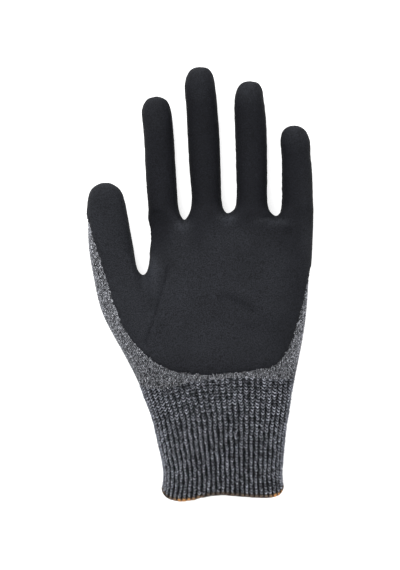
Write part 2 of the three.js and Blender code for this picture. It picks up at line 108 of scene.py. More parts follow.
# The digits: first column, row of the root, tip, and sections of y, left edge, right edge, lift off
# the table and thickness.
DIGITS = {
    "thumb": (-3, THUMB_ROW, (-53.2, 57.3), [
        (18.0, -62.7, -37.9, 0.4, 18.5), (30.3, -63.5, -40.0, 1.2, 17.5),
        (41.6, -63.1, -42.0, 2.4, 16.5), (49.2, -62.3, -43.6, 3.6, 15.5)]),
    "index": (0, KNUCKLE_ROW, (-24.5, 106.1), [
        (43.9, -28.3, -12.8, 0.0, 16.0), (56.3, -29.4, -13.8, 0.0, 15.0),
        (73.3, -30.3, -14.8, 0.5, 14.5), (87.9, -31.1, -15.8, 1.6, 14.0),
        (97.5, -32.0, -16.8, 2.8, 13.5)]),
    "middle": (3, KNUCKLE_ROW, (0.3, 122.7), [
        (46.1, -3.8, 11.9, 0.0, 16.5), (59.7, -4.5, 11.2, 0.0, 15.5),
        (80.0, -5.8, 10.6, 0.6, 15.0), (100.4, -6.8, 9.2, 2.2, 14.5),
        (112.8, -7.7, 7.9, 3.6, 14.0)]),
    "ring": (6, KNUCKLE_ROW, (28.4, 114.8), [
        (45.6, 21.3, 37.8, 0.0, 16.5), (59.7, 21.6, 37.5, 0.0, 15.5),
        (76.6, 21.2, 37.4, 0.5, 15.0), (93.6, 20.6, 36.8, 1.8, 14.5),
        (105.5, 20.6, 35.4, 3.2, 13.5)]),
    "little": (9, KNUCKLE_ROW, (53.6, 89.8), [
        (45.0, 47.2, 63.6, 0.0, 15.5), (56.3, 47.4, 63.3, 0.0, 14.5),
        (66.5, 47.4, 62.8, 0.5, 14.0), (74.4, 47.2, 62.0, 1.2, 13.5),
        (81.4, 46.6, 61.7, 2.2, 13.0)]),
}
DIGIT_COLUMNS = 2
CORNER_ACROSS, CORNER_DEEP = 0.77, 0.74
TIP_BELOW, TIP_SIZE = 0.3, 0.714

# The coating's lower edge across the palm, from the thumb's outer side to the little finger's.
COATING_EDGE = [
    (-63.8, 39.0), (-58.8, 23.6), (-51.6, 1.2), (-43.7, -21.4), (-33.4, -35.4), (-20.0, -45.6),
    (-4.0, -49.3), (14.0, -49.1), (32.0, -46.7), (44.4, -42.4), (49.3, -36.0), (55.6, -18.5),
    (59.5, -4.5), (62.7, 9.5),
]
COATING_SIDE_LEVEL = 5.5
COATING_TIP_WRAP = 8.0
FORK_REACH = 4.0
# Where the coating stops higher up the side: x, y, radius and rise.
COATING_SIDE_RISES = [(-28.5, 27.0, 11.0, 5.0)]

# Folds in the palm: their points, and their depth and width. A negative depth is a ridge.
FOLDS = [
    ([(-17.6, 10.0), (-18.9, 3.0), (-22.2, -9.4), (-25.9, -21.4), (-30.0, -33.2)], 1.05, 1.1),
    ([(-20.0, -2.0), (-23.5, -13.0), (-28.0, -26.0)], -0.5, 3.4),
    ([(-31.0, 1.5), (-30.4, -6.0), (-28.4, -15.0)], 1.4, 3.4),
    ([(-25.6, 13.0), (-25.2, 2.0), (-25.6, -8.0)], -1.2, 2.4),
    ([(-22.5, 24.5), (-16.0, 21.0), (-10.0, 18.0)], 0.5, 2.6),
    ([(-9.0, 36.0), (-9.6, 31.5)], -1.3, 2.4),
    ([(-5.0, 33.5), (-4.4, 29.0)], 0.7, 1.8),
    ([(12.4, 37.0), (16.0, 37.6), (19.8, 36.6)], -1.5, 2.0),
    ([(35.5, 37.6), (41.5, 38.4), (47.0, 36.8)], 0.7, 1.0),
    ([(33.0, 35.0), (38.0, 36.0), (44.0, 35.3), (49.0, 33.0)], -1.2, 1.5),
    ([(13.5, -7.6), (19.0, -9.0), (24.5, -11.6), (29.5, -15.2)], 1.4, 2.2),
    ([(18.0, -3.4), (26.0, -6.6), (35.0, -12.6), (42.0, -19.0)], -0.95, 3.0),
    ([(-4.0, 45.3), (2.0, 45.0), (8.0, 45.6)], 0.3, 1.5),
]
# Painted shade on the coating or, below 0, painted light: x, y, reach across and along, and how much.
COATING_PAINTED_SHADING = [
    (-22.5, 21.0, 7.0, 12.0, 0.6), (-1.5, 27.0, 6.0, 7.0, 0.5), (47.0, 27.0, 12.0, 9.0, 0.5),
    (57.0, 4.0, 9.0, 26.0, 0.6), (49.0, -29.0, 12.0, 17.0, 0.42), (-27.0, 8.8, 5.0, 8.0, -1.4),
    (-13.0, -8.0, 10.0, 12.0, -0.3), (-33.0, -24.0, 8.0, 13.0, -0.25), (-48.0, 20.0, 9.0, 22.0, -0.15),
    (12.0, -13.0, 10.0, 6.0, 0.15), (29.0, -22.0, 9.0, 5.0, 0.3), (5.0, -47.0, 32.0, 6.0, 0.35),
    (-9.9, 33.2, 4.5, 4.0, -1.5), (15.5, 37.2, 4.2, 3.2, -1.9), (41.3, 35.3, 9.0, 2.3, -1.4),
    (61.0, 50.0, 4.5, 30.0, -0.65), (-25.0, 92.0, 6.0, 9.0, -0.25), (-54.0, 52.0, 8.0, 6.0, 0.2),
    (-12.0, 25.0, 5.0, 5.0, -0.2), (-1.0, -31.0, 10.0, 8.0, -0.2), (19.0, -11.0, 3.0, 2.0, 0.25),
    (-29.5, 75.0, 3.5, 26.0, -0.25), (-25.0, 102.0, 6.0, 4.0, 0.35), (27.0, 109.0, 6.0, 5.0, -0.3),
    (0.0, 107.0, 6.0, 5.0, -0.25), (55.6, 39.3, 5.0, 5.0, -0.2), (28.5, 37.6, 4.0, 4.0, 0.2),
]
# Painted shade on the fingers, painted light at their tips (below 0), and more painted shade on their
# sides.
COATING_FINGER_PAINTED_SHADE, COATING_TIP_PAINTED_LIGHT, COATING_RIM_PAINTED_SHADE = 0.92, -1.0, 0.3
# Where the rib starts across the face: x and y.
RIB_TOP = [(-36.0, -56.6), (-22.3, -58.4), (-14.0, -56.6), (-5.0, -53.5), (5.9, -52.3),
           (25.7, -51.3), (44.9, -52.6), (54.0, -52.5)]
# How low the hem hangs, at even steps across from the thumb's side: on the face and on the back.
HEM_LINE = [
    (-121.0, -119.0), (-120.9, -118.5), (-121.3, -118.0), (-120.6, -118.3), (-119.0, -118.5),
    (-118.0, -118.8), (-117.6, -119.0), (-118.1, -118.8), (-118.6, -118.6), (-119.1, -118.3),
    (-119.4, -118.0), (-119.3, -118.3), (-120.1, -118.6),
]
# How high the hem rises at the cuff's two edges, and over what width of each.
HEM_RISE_LEFT, HEM_RISE_RIGHT, HEM_CORNER = 4.1, 4.4, 10.5

SUBDIVISIONS = 3
LINER_FACE = -0.5
LINER_WALL = 1.2
STITCH_SEED = 5


def mix(a, b, t):
    return a + (b - a) * t


def rounded(t, power):
    return max(0.0, 1 - abs(t) ** power) ** (1 / power)


def smooth(t):
    t = np.clip(t, 0, 1)
    return t * t * (3 - 2 * t)


def palm_section(row):
    """y, left, right and the three face heights of a row, of the palm or of the cuff."""
    if row >= 0:
        return PALM_ROWS[row]
    y, left, right, high = CUFF_ROWS[-row - 1]
    return y, left, right, high, high, high


def knuckle_columns():
    left, right = PALM_ROWS[KNUCKLE_ROW][1:3]
    forks = [f for f in FORKS if f[1] == KNUCKLE_ROW]
    starts = [left + PALM_INSET] + [f[3] for f in forks]
    ends = [f[2] for f in forks] + [right - PALM_INSET]
    return [x for a, b in zip(starts, ends) for x in (a, (a + b) / 2, b)]


def column_x(column, row):
    left, right = palm_section(row)[1:3]
    knuckles = knuckle_columns()

    def share(c):
        return (knuckles[c] - knuckles[0]) / (knuckles[-1] - knuckles[0])

    if row > THUMB_ROW:
        return mix(left + PALM_INSET, right - PALM_INSET, share(column))
    edge_left, edge_right = PALM_ROWS[THUMB_ROW][1:3]
    fork = FORKS[0]
    if column >= 0:
        spread = mix(fork[3], edge_right - PALM_INSET, share(column))
    else:
        thumb = [edge_left + PALM_INSET, (edge_left + fork[2]) / 2, fork[2]]
        spread = thumb[column - FIRST_COLUMN]
    spread_share = (spread - edge_left) / (edge_right - edge_left)
    inset = PALM_INSET / (right - left)
    even = (column - FIRST_COLUMN) / (LAST_COLUMN - FIRST_COLUMN)
    even_share = mix(inset, 1 - inset, even)
    return mix(left, right, mix(even_share, spread_share, max(row, 0) / THUMB_ROW))


def palm_point(column, row, layer):
    """A point of the palm's lattice: layer 0 is the back, 1 the side and 2 the face."""
    y, left, right, thumb_side, hollow, heel_side = palm_section(row)
    x = column_x(column, row)
    t = 2 * (x - left) / (right - left) - 1
    bow = ((thumb_side + heel_side) / 2 - hollow) * t * t
    face = hollow + (heel_side - thumb_side) / 2 * t + bow
    side = SIDE_LEVEL * face
    for fork_column, fork_row, fork_left, fork_right, fork_y in FORKS:
        if fork_row == row and column in (fork_column, fork_column + 1):
            if layer == 1:
                return fork_left if column == fork_column else fork_right, fork_y, side
            return x, fork_y - FORK_SETBACK, FORK_FACE * face if layer == 2 else FORK_BACK
    if layer == 1:
        return left if t < 0 else right, y, side
    if layer == 2:
        return x, y, mix(side, face, rounded(t, FACE_ROUNDNESS))
    return x, y, mix(side, SKIN_FLOOR, rounded(t, BACK_ROUNDNESS))


def digit_point(digit, across, up, layer):
    """A point of a digit's lattice: across is -1, 0 or 1, and up counts its sections."""
    _, _, (tip_x, tip_y), sections = digit
    beyond = up > len(sections)
    y, left, right, lift, thick = sections[min(up, len(sections)) - 1]
    half = (right - left) / 2
    level = lift + SKIN_FLOOR + thick / 2
    deep = layer - 1
    if beyond and across == 0 and deep == 0:
        return tip_x, tip_y, level
    size = TIP_SIZE if beyond else 1
    corner = across != 0 and deep != 0
    middle = tip_x if beyond else (left + right) / 2
    return (
        middle + across * half * size * (CORNER_ACROSS if corner else 1),
        tip_y - TIP_BELOW * half if beyond else y,
        level + deep * thick / 2 * size * (CORNER_DEEP if corner else 1),
    )


def lattice_point(column, row, layer):
    for digit in DIGITS.values():
        first, root, _, _ = digit
        if row > root and first <= column <= first + DIGIT_COLUMNS:
            if row > KNUCKLE_ROW or root == THUMB_ROW:
                return digit_point(digit, column - first - 1, row - root, layer)
    return palm_point(column, row, layer)


def is_filled(column, row):
    if row < THUMB_ROW:
        return True
    if row < KNUCKLE_ROW and column >= 0:
        return True
    return any(
        root <= row <= root + len(sections) and first <= column < first + DIGIT_COLUMNS
        for first, root, _, sections in DIGITS.values()
    )


def select_only(obj):
    bpy.ops.object.select_all(action="DESELECT")
    obj.select_set(True)
    bpy.context.view_layer.objects.active = obj


def select_faces(obj, wanted):
    """Selects, in edit mode, the faces whose middle passes the test."""
    bpy.ops.mesh.select_all(action="DESELECT")
    mesh = bmesh.from_edit_mesh(obj.data)
    for face in mesh.faces:
        face.select_set(bool(wanted(face.calc_center_median())))
    bmesh.update_edit_mesh(obj.data)


def limit_matrix(mesh):
    """The matrix that takes the cage's points to where its subdivision ends up."""
    matrix = np.zeros((len(mesh.verts), len(mesh.verts)))
    for vertex in mesh.verts:
        row = matrix[vertex.index]
        if vertex.is_boundary:
            row[vertex.index] = 4 / 6
            for edge in vertex.link_edges:
                if edge.is_boundary:
                    row[edge.other_vert(vertex).index] = 1 / 6
            continue
        n = len(vertex.link_edges)
        row[vertex.index] = n / (n + 5)
        for edge in vertex.link_edges:
            row[edge.other_vert(vertex).index] += 4 / (n * (n + 5))
        for face in vertex.link_faces:
            corners = list(face.verts)
            opposite = corners[(corners.index(vertex) + 2) % 4]
            row[opposite.index] += 1 / (n * (n + 5))
    return matrix


def model_skin():
    """The glove's skin: a block of cells is drawn out row by row, set to its sections, and
    subdivided so that it passes through them."""
    columns = LAST_COLUMN - FIRST_COLUMN
    bpy.ops.object.select_all(action="DESELECT")
    bpy.ops.mesh.primitive_grid_add(
        x_subdivisions=columns, y_subdivisions=2, size=1, rotation=(-math.pi / 2, 0, 0),
        location=((FIRST_COLUMN + LAST_COLUMN) / 2, FIRST_ROW, 0))
    skin = bpy.context.object
    skin.name = "skin"
    skin.scale = (columns, 2, 1)
    bpy.ops.object.transform_apply(location=True, rotation=True, scale=True)
    top = max(root + len(sections) + 1 for _, root, _, sections in DIGITS.values())
    bpy.ops.object.mode_set(mode="EDIT")
    bpy.ops.mesh.select_mode(type="FACE")
    for row in range(FIRST_ROW, top):
        select_faces(skin, lambda c: abs(c.y - row) < 0.1 and is_filled(math.floor(c.x), row))
        bpy.ops.mesh.extrude_region_move(TRANSFORM_OT_translate={"value": (0, 1, 0)})
    select_faces(skin, lambda c: abs(c.y - FIRST_ROW) < 0.1)
    bpy.ops.mesh.delete(type="FACE")
    mesh = bmesh.from_edit_mesh(skin.data)
    mesh.verts.ensure_lookup_table()
    mesh.verts.index_update()
    wanted = [lattice_point(*(round(a) for a in (v.co.x, v.co.y, v.co.z + 1))) for v in mesh.verts]
    control = np.linalg.solve(limit_matrix(mesh), np.array(wanted) + SHIFT)
    for vertex, place in zip(mesh.verts, control):
        vertex.co = Vector(place) * MM
    bmesh.update_edit_mesh(skin.data)
    bpy.ops.mesh.select_all(action="SELECT")
    bpy.ops.mesh.normals_make_consistent(inside=False)
    bpy.ops.object.mode_set(mode="OBJECT")
    select_only(skin)
    subdivide = skin.modifiers.new("subdivide", "SUBSURF")
    subdivide.levels = subdivide.render_levels = SUBDIVISIONS
    bpy.ops.object.modifier_apply(modifier=subdivide.name)
    return skin


def points_of(mesh, attribute="co"):
    values = np.empty(3 * len(mesh.vertices))
    if attribute == "co":
        mesh.vertices.foreach_get("co", values)
        return values.reshape(-1, 3) / MM - SHIFT
    mesh.vertex_normals.foreach_get("vector", values)
    return values.reshape(-1, 3)


def put_points(mesh, places):
    mesh.vertices.foreach_set("co", ((places + SHIFT) * MM).ravel())
    mesh.update()


def distance_to_line(x, y, line):
    """How far each point is from a chain of straight stretches."""
    best = np.full(x.shape, np.inf)
    for (ax, ay), (bx, by) in zip(line, line[1:]):
        dx, dy = bx - ax, by - ay
        t = np.clip(((x - ax) * dx + (y - ay) * dy) / (dx * dx + dy * dy), 0, 1)
        best = np.minimum(best, np.hypot(x - ax - t * dx, y - ay - t * dy))
    return best


def fold_relief(places, normals):
    """How far the folds push each point of the face out."""
    x, y = places[:, 0], places[:, 1]
    relief = np.zeros(len(places))
    for line, depth, width in FOLDS:
        relief -= depth * np.exp(-((distance_to_line(x, y, line) / width) ** 2))
    return relief * np.clip(normals[:, 2], 0, 1)


def coating_edge_y(x):
    """The height of the coating's lower edge at x, through smooth curves between its points."""
    xs, ys = np.array(COATING_EDGE).T
    slopes = np.gradient(ys, xs)
    n = np.clip(np.searchsorted(xs, x) - 1, 0, len(xs) - 2)
    width = xs[n + 1] - xs[n]
    t = np.clip((x - xs[n]) / width, 0, 1)
    a, b = 2 * t**3 - 3 * t**2 + 1, t**3 - 2 * t**2 + t
    c, d = 3 * t**2 - 2 * t**3, t**3 - t**2
    return a * ys[n] + b * width * slopes[n] + c * ys[n + 1] + d * width * slopes[n + 1]


def coating_depth(places):
    """How far inside the coating's edge each point lies, in millimetres."""
    x, y, z = places.T
    step = 0.5
    slope = (coating_edge_y(x + step) - coating_edge_y(x - step)) / (2 * step)
    above = (y - coating_edge_y(x)) / np.hypot(1, slope)
    level = COATING_SIDE_LEVEL + np.zeros(len(x))
    for rise_x, rise_y, radius, rise in COATING_SIDE_RISES:
        level += rise * np.exp(-(((x - rise_x) / 6) ** 2) - ((y - rise_y) / radius) ** 2)
    depth = np.minimum(above, z - level)
    for _, _, (tip_x, tip_y), sections in DIGITS.values():
        half = (sections[-1][2] - sections[-1][1]) / 2
        near = np.abs(x - tip_x) < half + 3
        depth = np.where(near, np.maximum(depth, y - (tip_y - COATING_TIP_WRAP)), depth)
    return depth


def ragged(places, size, seed):
    """Smooth random numbers about -1 to 1 over the points, size millimetres apart."""
    return np.array([noise.noise(Vector(p) / size + Vector((seed, 0, 0))) for p in places])


class Slices:
    """The skin cut across at a height, as loops of points with their normals."""

    def __init__(self, skin):
        self.places = points_of(skin.data)
        self.normals = points_of(skin.data, "normal")
        self.places = self.places + self.normals * fold_relief(self.places, self.normals)[:, None]
        corners = np.empty(4 * len(skin.data.polygons), int)
        skin.data.loops.foreach_get("vertex_index", corners)
        a, b, c, d = corners.reshape(-1, 4).T
        self.triangles = np.concatenate([np.stack([a, b, c], 1), np.stack([a, c, d], 1)])
        heights = self.places[self.triangles][:, :, 1]
        self.low, self.high = heights.min(1), heights.max(1)

    def at(self, y):
        y += 1e-5
        hit = self.triangles[(self.low < y) & (self.high > y)]
        links = {}
        crossings = {}
        for triangle in hit:
            ends = []
            for a, b in ((0, 1), (1, 2), (2, 0)):
                a, b = sorted((int(triangle[a]), int(triangle[b])))
                ya, yb = self.places[a][1], self.places[b][1]
                if (ya < y) == (yb < y):
                    continue
                if (a, b) not in crossings:
                    t = (y - ya) / (yb - ya)
                    crossings[a, b] = np.concatenate([
                        mix(self.places[a], self.places[b], t),
                        mix(self.normals[a], self.normals[b], t)])
                ends.append((a, b))
            links.setdefault(ends[0], []).append(ends[1])
            links.setdefault(ends[1], []).append(ends[0])
        loops = []
        while links:
            start = here = next(iter(links))
            chain = [start]
            while True:
                ahead = [k for k in links[here] if k != (chain[-2] if len(chain) > 1 else None)]
                following = ahead[0] if ahead else start
                if following == start:
                    break
                chain.append(following)
                here = following
            for key in chain:
                links.pop(key)
            loops.append(self.ordered(np.array([crossings[key] for key in chain])))
        return loops

    @staticmethod
    def ordered(loop):
        """The loop clockwise from the middle of the back, so that it first goes up the left."""
        x, z = loop[:, 0], loop[:, 2]
        area = np.sum(x * np.roll(z, -1) - np.roll(x, -1) * z)
        if area > 0:
            loop = loop[::-1]
        middle = (loop[:, 0].min() + loop[:, 0].max()) / 2
        low = loop[:, 2] < (loop[:, 2].min() + loop[:, 2].max()) / 2
        start = np.argmin(np.where(low, np.abs(loop[:, 0] - middle), np.inf))
        return np.roll(loop, -start, axis=0)


def resampled(loop, count, offset=0.0):
    """Points and normals at even distances round a loop."""
    closed = np.concatenate([loop, loop[:1]])
    steps = np.hypot(np.diff(closed[:, 0]), np.diff(closed[:, 2]))
    length = np.concatenate([[0], np.cumsum(steps)])
    wanted = (np.arange(count) + offset) / count * length[-1]
    return np.stack([np.interp(wanted, length, column) for column in closed.T], 1), length[-1]


def floor_clamp(places, lowest=0.0):
    places[:, 2] = np.maximum(places[:, 2], lowest)
    return places


def stitch_template(plump, foot, lean, dip, painted_fade):
    """One knitted loop as it shows on the face: two legs that lean apart in a V, thinner where
    they dip towards the sides, with painted shade there and a painted highlight at the foot. Its
    width, length and thickness are 1. Each corner comes with the leg it is in, 0 or 1, and its
    painted light and shade."""
    halves = []
    for side in (-1, 1):
        bpy.ops.object.select_all(action="DESELECT")
        bpy.ops.mesh.primitive_uv_sphere_add(segments=4, ring_count=4, radius=0.5)
        leg = bpy.context.object
        bpy.ops.object.mode_set(mode="EDIT")
        bpy.ops.mesh.select_all(action="SELECT")
        bpy.ops.transform.rotate(value=math.pi / 2, orient_axis="X", center_override=(0, 0, 0))
        bpy.ops.transform.resize(value=(plump, 1.2, 1.0))
        bpy.ops.object.mode_set(mode="OBJECT")
        for vertex in leg.data.vertices:
            x, y, z = vertex.co
            up = y + 0.5
            apart = foot + lean * up
            slim = 1.3 - 0.8 * min(max(up, 0), 1)
            vertex.co = (side * apart + x * slim, y, z * slim - dip * (2 * apart) ** 2 - 0.15 * up)
        halves.append(leg)
    bpy.ops.object.select_all(action="DESELECT")
    for leg in halves:
        leg.select_set(True)
    bpy.context.view_layer.objects.active = halves[0]
    bpy.ops.object.join()
    template = halves[0]
    bpy.ops.object.mode_set(mode="EDIT")
    bpy.ops.mesh.select_all(action="SELECT")
    bpy.ops.mesh.normals_make_consistent(inside=False)
    bpy.ops.object.mode_set(mode="OBJECT")
    corners = np.array([v.co for v in template.data.vertices])
    faces = [list(f.vertices) for f in template.data.polygons]
    bpy.data.objects.remove(template)
    # Painted highlight at the foot of each leg, painted shade towards its dipping end.
    painted_shading = painted_fade * (0.4 - np.clip(corners[:, 1] + 0.5, 0, 1))
    return corners, faces, np.repeat([0, 1], len(corners) // 2), painted_shading


def loop_template(rise, bend, girth, deep, dip, painted_fade, segments=5, rings=8):
    """One loop of the rib as it shows on the face: a thread that hangs from the valley on one side
    to the valley on the other, lowest and nearest over the rib, with painted light there and
    painted shade towards the valleys. Its width, length and thickness are 1. Each corner comes
    with the half it is in, 0 or 1, and its painted light and shade."""
    bpy.ops.object.select_all(action="DESELECT")
    bpy.ops.mesh.primitive_uv_sphere_add(segments=segments, ring_count=rings, radius=0.5)
    loop = bpy.context.object
    bpy.ops.object.mode_set(mode="EDIT")
    bpy.ops.mesh.select_all(action="SELECT")
    bpy.ops.transform.rotate(value=math.pi / 2, orient_axis="Y", center_override=(0, 0, 0))
    bpy.ops.mesh.normals_make_consistent(inside=False)
    bpy.ops.object.mode_set(mode="OBJECT")
    x, y, z = np.array([v.co for v in loop.data.vertices]).T
    out = np.clip(2 * np.abs(x), 0, 1)
    fuller = 2 * np.sqrt(1 + out * out)
    corners = np.stack([
        x,
        y * girth * fuller + rise * (out ** bend - 0.5),
        z * deep * fuller - dip * out ** 1.6,
    ], 1)
    faces = [list(f.vertices) for f in loop.data.polygons]
    bpy.data.objects.remove(loop)
    # The last value is painted light over the rib and painted shade towards the valleys.
    return corners, faces, (x > 0).astype(int), painted_fade * (0.4 - out ** 1.5)


def knit_field(name, template, sites):
    """One mesh of many stitches. Each site has a place, a normal, a direction along the wale, and
    the stitch's width, length and thickness, and the tones of its two legs."""
    corners, faces, leg, painted_shading = template
    place = np.array([s[0] for s in sites])
    normal = np.array([s[1] for s in sites])
    along = np.array([s[2] for s in sites])
    sizes = np.array([s[3] for s in sites])
    tones = np.array([s[4] for s in sites])
    normal /= np.linalg.norm(normal, axis=1)[:, None]
    across = np.cross(along, normal)
    across /= np.linalg.norm(across, axis=1)[:, None]
    along = np.cross(normal, across)
    local = corners[None] * sizes[:, None, :]
    world = (place[:, None] + local[..., :1] * across[:, None] + local[..., 1:2] * along[:, None]
             + local[..., 2:] * normal[:, None])
    world = floor_clamp(world.reshape(-1, 3), 0.02)
    count = len(corners)
    polygons = [[n * count + i for i in face] for n in range(len(sites)) for face in faces]
    mesh = bpy.data.meshes.new(name)
    mesh.from_pydata((world + SHIFT) * MM, [], polygons)
    tone = mesh.attributes.new("tone", "FLOAT", "POINT")
    # Each stitch's tone, with its template's painted light and shade added.
    tone.data.foreach_set("value", (tones[:, leg] + painted_shading).ravel())
    mesh.shade_smooth()
    obj = bpy.data.objects.new(name, mesh)
    bpy.context.collection.objects.link(obj)
    return obj


def heather_tones(rng, count, stitch_spread, leg_spread):
    """Tones from 0 to 1 for the two legs of each stitch along a course."""
    stitch = stitch_spread * rng.normal(size=(count, 1))
    return np.clip(0.5 + stitch + leg_spread * rng.normal(size=(count, 2)), 0, 1)


# Shader nodes


class Nodes:
    """A material's nodes, made and joined in few words."""

    def __init__(self, name):
        self.material = bpy.data.materials.new(name)
        self.material.use_nodes = True
        self.tree = self.material.node_tree
        self.shader = self.tree.nodes["Principled BSDF"]

    def add(self, kind, **values):
        node = self.tree.nodes.new("ShaderNode" + kind)
        for key, value in values.items():
            if hasattr(node, key):
                setattr(node, key, value)
            else:
                node.inputs[key.replace("_", " ")].default_value = value
        return node

    def join(self, source, target):
        self.tree.links.new(source, target)

    def object_coordinates(self):
        return self.add("TexCoord").outputs["Object"]

    def noise(self, scale, detail=2.0, roughness=0.5, stretch=None):
        node = self.add("TexNoise", Scale=scale, Detail=detail, Roughness=roughness)
        source = self.object_coordinates()
        if stretch:
            mapping = self.add("Mapping")
            mapping.inputs["Scale"].default_value = stretch
            self.join(source, mapping.inputs["Vector"])
            source = mapping.outputs["Vector"]
        self.join(source, node.inputs["Vector"])
        return node.outputs["Fac"]

    def ramp(self, factor, stops):
        node = self.add("ValToRGB")
        elements = node.color_ramp.elements
        while len(elements) < len(stops):
            elements.new(0.5)
        for element, (position, colour) in zip(elements, stops):
            element.position = position
            element.color = (*colour, 1)
        self.join(factor, node.inputs["Fac"])
        return node.outputs["Color"]

    def blend(self, a, b, factor, mode="MIX"):
        node = self.add("Mix", data_type="RGBA", blend_type=mode)
        for socket, value in ((node.inputs[6], a), (node.inputs[7], b), (node.inputs[0], factor)):
            if isinstance(value, bpy.types.NodeSocket):
                self.join(value, socket)
            else:
                socket.default_value = value
        return node.outputs[2]

    def attribute(self, name):
        return self.add("Attribute", attribute_name=name).outputs["Fac"]

    def bump(self, height, strength, distance, previous=None):
        node = self.add("Bump", Strength=strength, Distance=distance)
        self.join(height, node.inputs["Height"])
        if previous:
            self.join(previous, node.inputs["Normal"])
        return node.outputs["Normal"]


def grey(value, blue=1.0):
    return (value, value * (1 + 0.045 * blue), value * (1 + 0.2 * blue))


def coating_material(colour):
    """Foamed rubber: near black, matte, with fine pores and the weave showing through, and painted
    light and shade from its painted_shading attribute.
    """
    nodes = Nodes("foamed_coating")
    cloud = nodes.noise(45, 3)
    pores = nodes.noise(2600, 2, 0.6)
    weave = nodes.noise(1900, 2, 0.6)
    dark, light = (tuple(value * part for part in colour) for value in (0.907, 1.093))
    colour = nodes.ramp(cloud, [(0.3, dark), (0.7, light)])
    mottle = nodes.ramp(weave, [(0.38, (0.45, 0.45, 0.45)), (0.62, (1.6, 1.6, 1.6))])
    colour = nodes.blend(colour, mottle, 1.0, "MULTIPLY")
    # Painted light and shade: the attribute turns into a factor that lightens or darkens the colour.
    half = nodes.add("MapRange", From_Min=-1.0, From_Max=1.5)
    nodes.join(nodes.attribute("painted_shading"), half.inputs["Value"])
    painted_shading = nodes.ramp(half.outputs["Result"], [
        (0.0, (1.6, 1.6, 1.6)), (0.4, (1, 1, 1)), (0.8, (0.4, 0.4, 0.45)), (1.0, (0.2, 0.2, 0.25))])
    colour = nodes.blend(colour, painted_shading, 1.0, "MULTIPLY")
    nodes.join(colour, nodes.shader.inputs["Base Color"])
    nodes.shader.inputs["Roughness"].default_value = 0.8
    nodes.shader.inputs["Specular IOR Level"].default_value = 0.1
    normal = nodes.bump(weave, 0.6, 0.0006)
    normal = nodes.bump(pores, 0.5, 0.0001, normal)
    nodes.join(normal, nodes.shader.inputs["Normal"])
    return nodes.material


def yarn_material(name, dark, middle, light, speckle, blue=1.0):
    """Heather yarn whose tone comes from each stitch, with light and dark fibres over it."""
    nodes = Nodes(name)
    tone = nodes.attribute("tone")
    colour = nodes.ramp(tone, [(0.05, grey(dark, blue)), (0.5, grey(middle, blue)),
                               (0.95, grey(light, blue))])
    specks = nodes.noise(speckle, 2, 0.7)
    fleck = nodes.ramp(specks, [(0.38, (0.25, 0.25, 0.25)), (0.5, (0.8, 0.8, 0.8)),
                                (0.62, (2.5, 2.5, 2.5))])
    colour = nodes.blend(colour, fleck, 1.0, "MULTIPLY")
    nodes.join(colour, nodes.shader.inputs["Base Color"])
    nodes.shader.inputs["Roughness"].default_value = 0.9
    nodes.shader.inputs["Specular IOR Level"].default_value = 0.1
    fibres = nodes.noise(5200, 2, 0.6)
    nodes.join(nodes.bump(fibres, 0.6, 0.00012), nodes.shader.inputs["Normal"])
    return nodes.material


def painted_shade_ground_material(name, value, crest=1.0, inside=1.0):
    """The knit beneath the stitches that stand out, with the grain of its courses, near black as
    painted shade in the gaps between the stitches. Where its tone is 1/3, on the crests of a rib,
    and where it is 1, inside, it is lighter by the factors given."""
    nodes = Nodes(name)
    grain = nodes.noise(1400, 2, 0.6, (1.0, 1.8, 1.0))
    colour = nodes.ramp(grain, [(0.3, grey(value * 0.45)), (0.7, grey(value * 1.5))])
    lift = nodes.ramp(nodes.attribute("tone"), [
        (0.08, (1, 1, 1)), (0.3, (crest, crest, crest)), (0.5, (crest, crest, crest)),
        (0.67, (inside * 0.6, inside * 0.6, inside * 0.6)), (1.0, (inside, inside, inside))])
    colour = nodes.blend(colour, lift, 1.0, "MULTIPLY")
    nodes.join(colour, nodes.shader.inputs["Base Color"])
    nodes.shader.inputs["Roughness"].default_value = 0.95
    nodes.shader.inputs["Specular IOR Level"].default_value = 0.1
    nodes.join(nodes.bump(grain, 0.8, 0.0004), nodes.shader.inputs["Normal"])
    return nodes.material


def thread_material(gold):
    """Overlock thread, from near black to its golden colour by each stitch's tone."""
    nodes = Nodes("overlock_thread")
    colour = nodes.ramp(nodes.attribute("tone"), [
        (0.0, (0.001, 0.0007, 0.0005)), (0.25, (0.02, 0.013, 0.009)), (0.5, (0.1, 0.08, 0.065)),
        (0.75, (0.26, 0.15, 0.07)), (1.0, gold)])
    fibres = nodes.noise(4200, 2, 0.6)
    fleck = nodes.ramp(fibres, [(0.36, (0.6, 0.6, 0.6)), (0.64, (1.4, 1.4, 1.4))])
    colour = nodes.blend(colour, fleck, 1.0, "MULTIPLY")
    nodes.join(colour, nodes.shader.inputs["Base Color"])
    nodes.shader.inputs["Roughness"].default_value = 0.75
    nodes.shader.inputs["Specular IOR Level"].default_value = 0.1
    nodes.join(nodes.bump(fibres, 0.5, 0.0001), nodes.shader.inputs["Normal"])
    return nodes.material


def finish_piece(obj, slot, material, *nodes):
    obj.data.materials.clear()
    obj.data.materials.append(material)
    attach(obj, "root")
    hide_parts(*nodes)


def copy_of(obj, name):
    copy = bpy.data.objects.new(name, obj.data.copy())
    bpy.context.collection.objects.link(copy)
    return copy


def apply_solidify(obj, thickness):
    select_only(obj)
    wall = obj.modifiers.new("wall", "SOLIDIFY")
    wall.thickness = thickness * MM
    wall.offset = -1
    wall.use_even_offset = False
    bpy.ops.object.modifier_apply(modifier=wall.name)


def cut_below(obj, y):
    """Takes off what lies below a height."""
    select_only(obj)
    bpy.ops.object.mode_set(mode="EDIT")
    bpy.ops.mesh.select_all(action="SELECT")
    bpy.ops.mesh.bisect(
        plane_co=(0, (y + SHIFT[1]) * MM, 0), plane_no=(0, 1, 0), clear_inner=True)
    bpy.ops.object.mode_set(mode="OBJECT")


